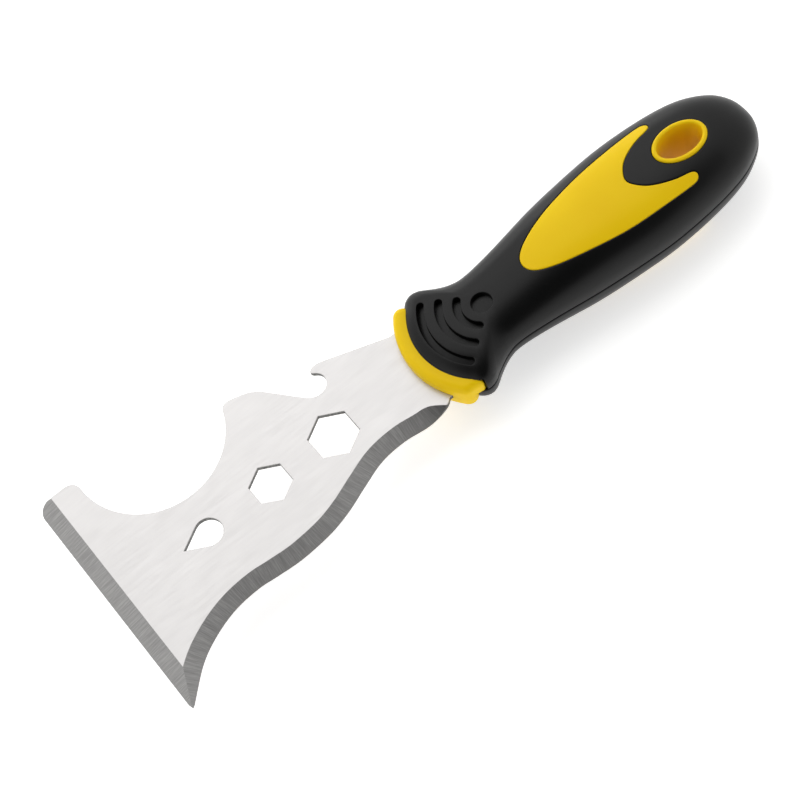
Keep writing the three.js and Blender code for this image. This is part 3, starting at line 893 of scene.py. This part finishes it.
def bolsterLoop(grow=0.0):
    # an arc in front with round ends; the end on the pointed side runs on as a foot
    reach = bolster["radius"] - bolster["end"]
    endY = bolster["half"] - bolster["end"]
    turn = math.degrees(math.asin(endY / reach))
    endX = handle["fanX"] - reach * math.cos(math.radians(turn))
    backHalf, backX = endY - bolster["end"] + grow, bolster["backX"] + grow
    footX, footY = bolster["footEnd"] + grow, -bolster["half"] - bolster["flare"] - grow
    loop = np.vstack([
        [(footX, -backHalf), (backX, -backHalf), (backX, backHalf)],
        arc(endX, endY, bolster["end"] + grow, -turn, 180 - turn, 24),
        arc(handle["fanX"], 0, bolster["radius"] + grow, 180 - turn, 180 + turn, 60)[1:-1],
        arc(endX, -endY, bolster["end"] + grow, 180 + turn, 280, 16),
        bend((footX - 1.2, footY + 0.25), (footX, footY), (footX, footY + 1.2)),
    ])
    return anticlockwise(evenly(loop, 0.4, True))


def makeBolsterMesh(grow=0.0):
    # front half of the bolster, whole; makeHandle cuts the plate's slot from it, and a grown copy
    # reaches below the seam to cut the grip
    loop = bolsterLoop(grow)
    r, top = bolster["round"], bolster["thick"] / 2 + grow
    rings = [grown(loop, -step) for step in (0, 0.04, 0.15, 0.35, 0.65, 1.05, 1.45)]
    loose = gridPoints((104, -19), (119, 19), 0.8)
    loose = loose[insideLoop(loose, loop) & (lineDistance(loose, loop) > 1.75)]
    flat, triangles = triangulate(rings, [], loose, lambda at: insideLoop(at, loop))
    height = top - edgeDrop(lineDistance(flat, loop), r)
    low = 0.02 if grow == 0 else -1
    return closedBody("bolster", np.column_stack([flat, height]),
                      np.column_stack([flat, np.full(len(flat), low)]), triangles)


def boxMesh(low, high):
    mesh = bpy.data.meshes.new("box")
    work = bmesh.new()
    bmesh.ops.create_cube(work, size=1)
    for v in work.verts:
        v.co = [low[k] if v.co[k] < 0 else high[k] for k in range(3)]
    work.to_mesh(mesh)
    work.free()
    return mesh


def makeInlayMesh():
    loop = inlayLoop()
    r = window["round"]
    rings = [toSheet(grown(loop, -step)) for step in (0, 0.07, 0.16, r, 0.6)]
    loose = sheetGrid(rings, lambda p: insideLoop(p, rings[0]), 1.1)
    flat, triangles = triangulate(rings, [], loose, lambda at: insideLoop(at, rings[0]))
    top = skinAt(flat, 0, handle["seamRound"])
    top[:, 2] -= edgeDrop(lineDistance(top[:, :2], loop), r)
    bottom = top.copy()
    bottom[:, 2] = 3
    return closedBody("inlay", top, bottom, triangles)


def joined(name, meshes):
    # several bodies in one mesh
    work = bmesh.new()
    for mesh in meshes:
        work.from_mesh(mesh)
    mesh = bpy.data.meshes.new(name)
    work.to_mesh(mesh)
    work.free()
    return mesh


def makeHandle():
    rubber, plastic = softGrip(), yellowPlastic()
    gap = bolster["gap"]
    room = boxMesh((bolster["footStart"], -20, -1),
                   (bolster["footEnd"] + gap, -10, bolster["thick"] / 2))
    grip = cutWith(cutWith(makeGripMesh(), makeBolsterMesh(gap)), room)
    grip = finishMesh(grip)
    addPiece("gripFront", grip, [rubber], ["grip_front"])
    addPiece("gripRear", turnedOver(grip), [rubber], ["grip_rear"])
    mouth = plate["neck"] / 2 + bolster["slotGap"]
    slot = boxMesh((100, -mouth, -1), (119, mouth, plate["thickness"] / 2 + 0.05))
    nose = cutWith(makeBolsterMesh(), slot)
    core = finishMesh(joined("coreFront", [nose, makeInlayMesh()]))
    addPiece("coreFront", core, [plastic], ["core_front"])
    addPiece("coreRear", turnedOver(core), [plastic], ["core_rear"])
    makeSleeve(plastic)


def lipHeight(x):
    # the sleeve's lips lie in a plane that slopes with the handle's crown
    slope = 2 * handle["buttFall"] * (handle["sleeveX"] - handle["palmX"])
    return crownHeight(handle["sleeveX"]) + lining["proud"] - slope * (x - handle["sleeveX"])


def makeSleeve(plastic):
    # oval tube with a rolled lip at each end; a row is its growth and its drop below the lip
    wall, r = lining["wall"], lining["round"]
    turns = np.radians(np.linspace(0, 90, 6))
    upper = [(r * (math.cos(a) - 1), r * (1 - math.sin(a))) for a in turns]
    upper += [(r * (1 - math.sin(a)) - wall, r * (1 - math.cos(a))) for a in turns]
    upper.append((-wall - 0.25, lipHeight(handle["sleeveX"]) - 1))  # draft towards the middle
    rows = [(g, d, 1) for g, d in upper] + [(g, d, -1) for g, d in upper[::-1]]
    count = 120
    points, faces = [], []
    for grow, drop, end in rows:
        points += [(x, y, end * (lipHeight(x) - drop)) for x, y in ovalLoop(grow, count)]
    for i in range(len(rows)):
        row, nextRow = i * count, (i + 1) % len(rows) * count
        for k in range(count):
            k2 = (k + 1) % count
            faces.append((row + k, row + k2, nextRow + k2, nextRow + k))
    mesh = bpy.data.meshes.new("hangSleeve")
    mesh.from_pydata(points, [], faces)
    addPiece("hangSleeve", finishMesh(mesh), [plastic], ["hang_sleeve"])


pins = {"diameter": 4, "length": 11, "chamfer": 0.4, "sides": 32}


def pinTree(wire):
    # one chamfered pin of drawn wire, set on every point of the mesh it is given
    tree = bpy.data.node_groups.new("tangPinSet", "GeometryNodeTree")
    for way in ("INPUT", "OUTPUT"):
        tree.interface.new_socket("Geometry", in_out=way, socket_type="NodeSocketGeometry")
    for name in ("Radius", "Length", "Chamfer"):
        tree.interface.new_socket(name, in_out="INPUT", socket_type="NodeSocketFloat")
    given = addNode(tree, "NodeGroupInput").outputs
    rod = addNode(tree, "GeometryNodeMeshCylinder",
                  {"Vertices": pins["sides"], "Side Segments": 3},
                  Radius=given["Radius"], Depth=given["Length"])
    place = addNode(tree, "GeometryNodeInputPosition")
    along = addNode(tree, "ShaderNodeSeparateXYZ", wires=[place.outputs[0]])
    # the end rings draw in by the chamfer, and the rings beside them move out to it
    values = {name: given[name] for name in ("Radius", "Length", "Chamfer")}
    values.update({name: along.outputs[name] for name in "XYZ"})
    for name, operation, *terms in (
        ("away", "ABSOLUTE", "Z"),
        ("endsFrom", "MULTIPLY", "Length", 0.3),
        ("atEnd", "GREATER_THAN", "away", "endsFrom"),
        ("chamferShare", "DIVIDE", "Chamfer", "Radius"),
        ("drawnIn", "MULTIPLY", "atEnd", "chamferShare"),
        ("kept", "SUBTRACT", 1, "drawnIn"),
        ("atInner", "SUBTRACT", 1, "atEnd"),
        ("setBack", "MULTIPLY", "atInner", "Chamfer"),
        ("half", "MULTIPLY", "Length", 0.5),
        ("height", "SUBTRACT", "half", "setBack"),
        ("side", "SIGN", "Z"),
        ("newZ", "MULTIPLY", "height", "side"),
        ("newX", "MULTIPLY", "X", "kept"),
        ("newY", "MULTIPLY", "Y", "kept"),
    ):
        wires = [values[term] if isinstance(term, str) else term for term in terms]
        step = addNode(tree, "ShaderNodeMath", {"operation": operation}, wires)
        values[name] = step.outputs[0]
    spot = addNode(tree, "ShaderNodeCombineXYZ", wires=[values["new" + axis] for axis in "XYZ"])
    shaped = addNode(tree, "GeometryNodeSetPosition",
                     Geometry=rod.outputs["Mesh"], Position=spot.outputs[0])
    placed = addNode(tree, "GeometryNodeInstanceOnPoints",
                     Points=given["Geometry"], Instance=shaped.outputs["Geometry"])
    plain = addNode(tree, "GeometryNodeRealizeInstances", Geometry=placed.outputs[0])
    painted = addNode(tree, "GeometryNodeSetMaterial", {"Material": wire},
                      Geometry=plain.outputs[0])
    addNode(tree, "NodeGroupOutput", Geometry=painted.outputs[0])
    return tree


def makePins():
    # the pins that lock the tang, one on each hole
    places = [toFrame @ Vector((plate["shoulderX"] + share * plate["tangLength"], 0, 0))
              for share in plate["pinShares"]]
    seeds = bpy.data.meshes.new("pinPlaces")
    seeds.from_pydata(places, [], [])
    holder = bpy.data.objects.new("pinPlaces", seeds)
    bpy.context.scene.collection.objects.link(holder)
    wire = drawnWire()
    nodes = holder.modifiers.new("pins", "NODES")
    nodes.node_group = pinTree(wire)
    sizes = {"Radius": pins["diameter"] / 2, "Length": pins["length"], "Chamfer": pins["chamfer"]}
    for item in nodes.node_group.interface.items_tree:
        if item.name in sizes:
            nodes[item.identifier] = sizes[item.name] * mm
    mesh = evaluatedMesh(holder)
    for face in mesh.polygons:
        face.material_index = 0
    mesh.materials.clear()
    mesh.shade_smooth()
    mesh.set_sharp_from_angle(angle=math.radians(30))
    addPiece("tangPins", mesh, [wire], ["tang_pin_1", "tang_pin_2", "tang_pin_3"])


makeCamera()
makeStudio()
print("studio ready")
makePlate()
makeHandle()
makePins()
print("all pieces made")
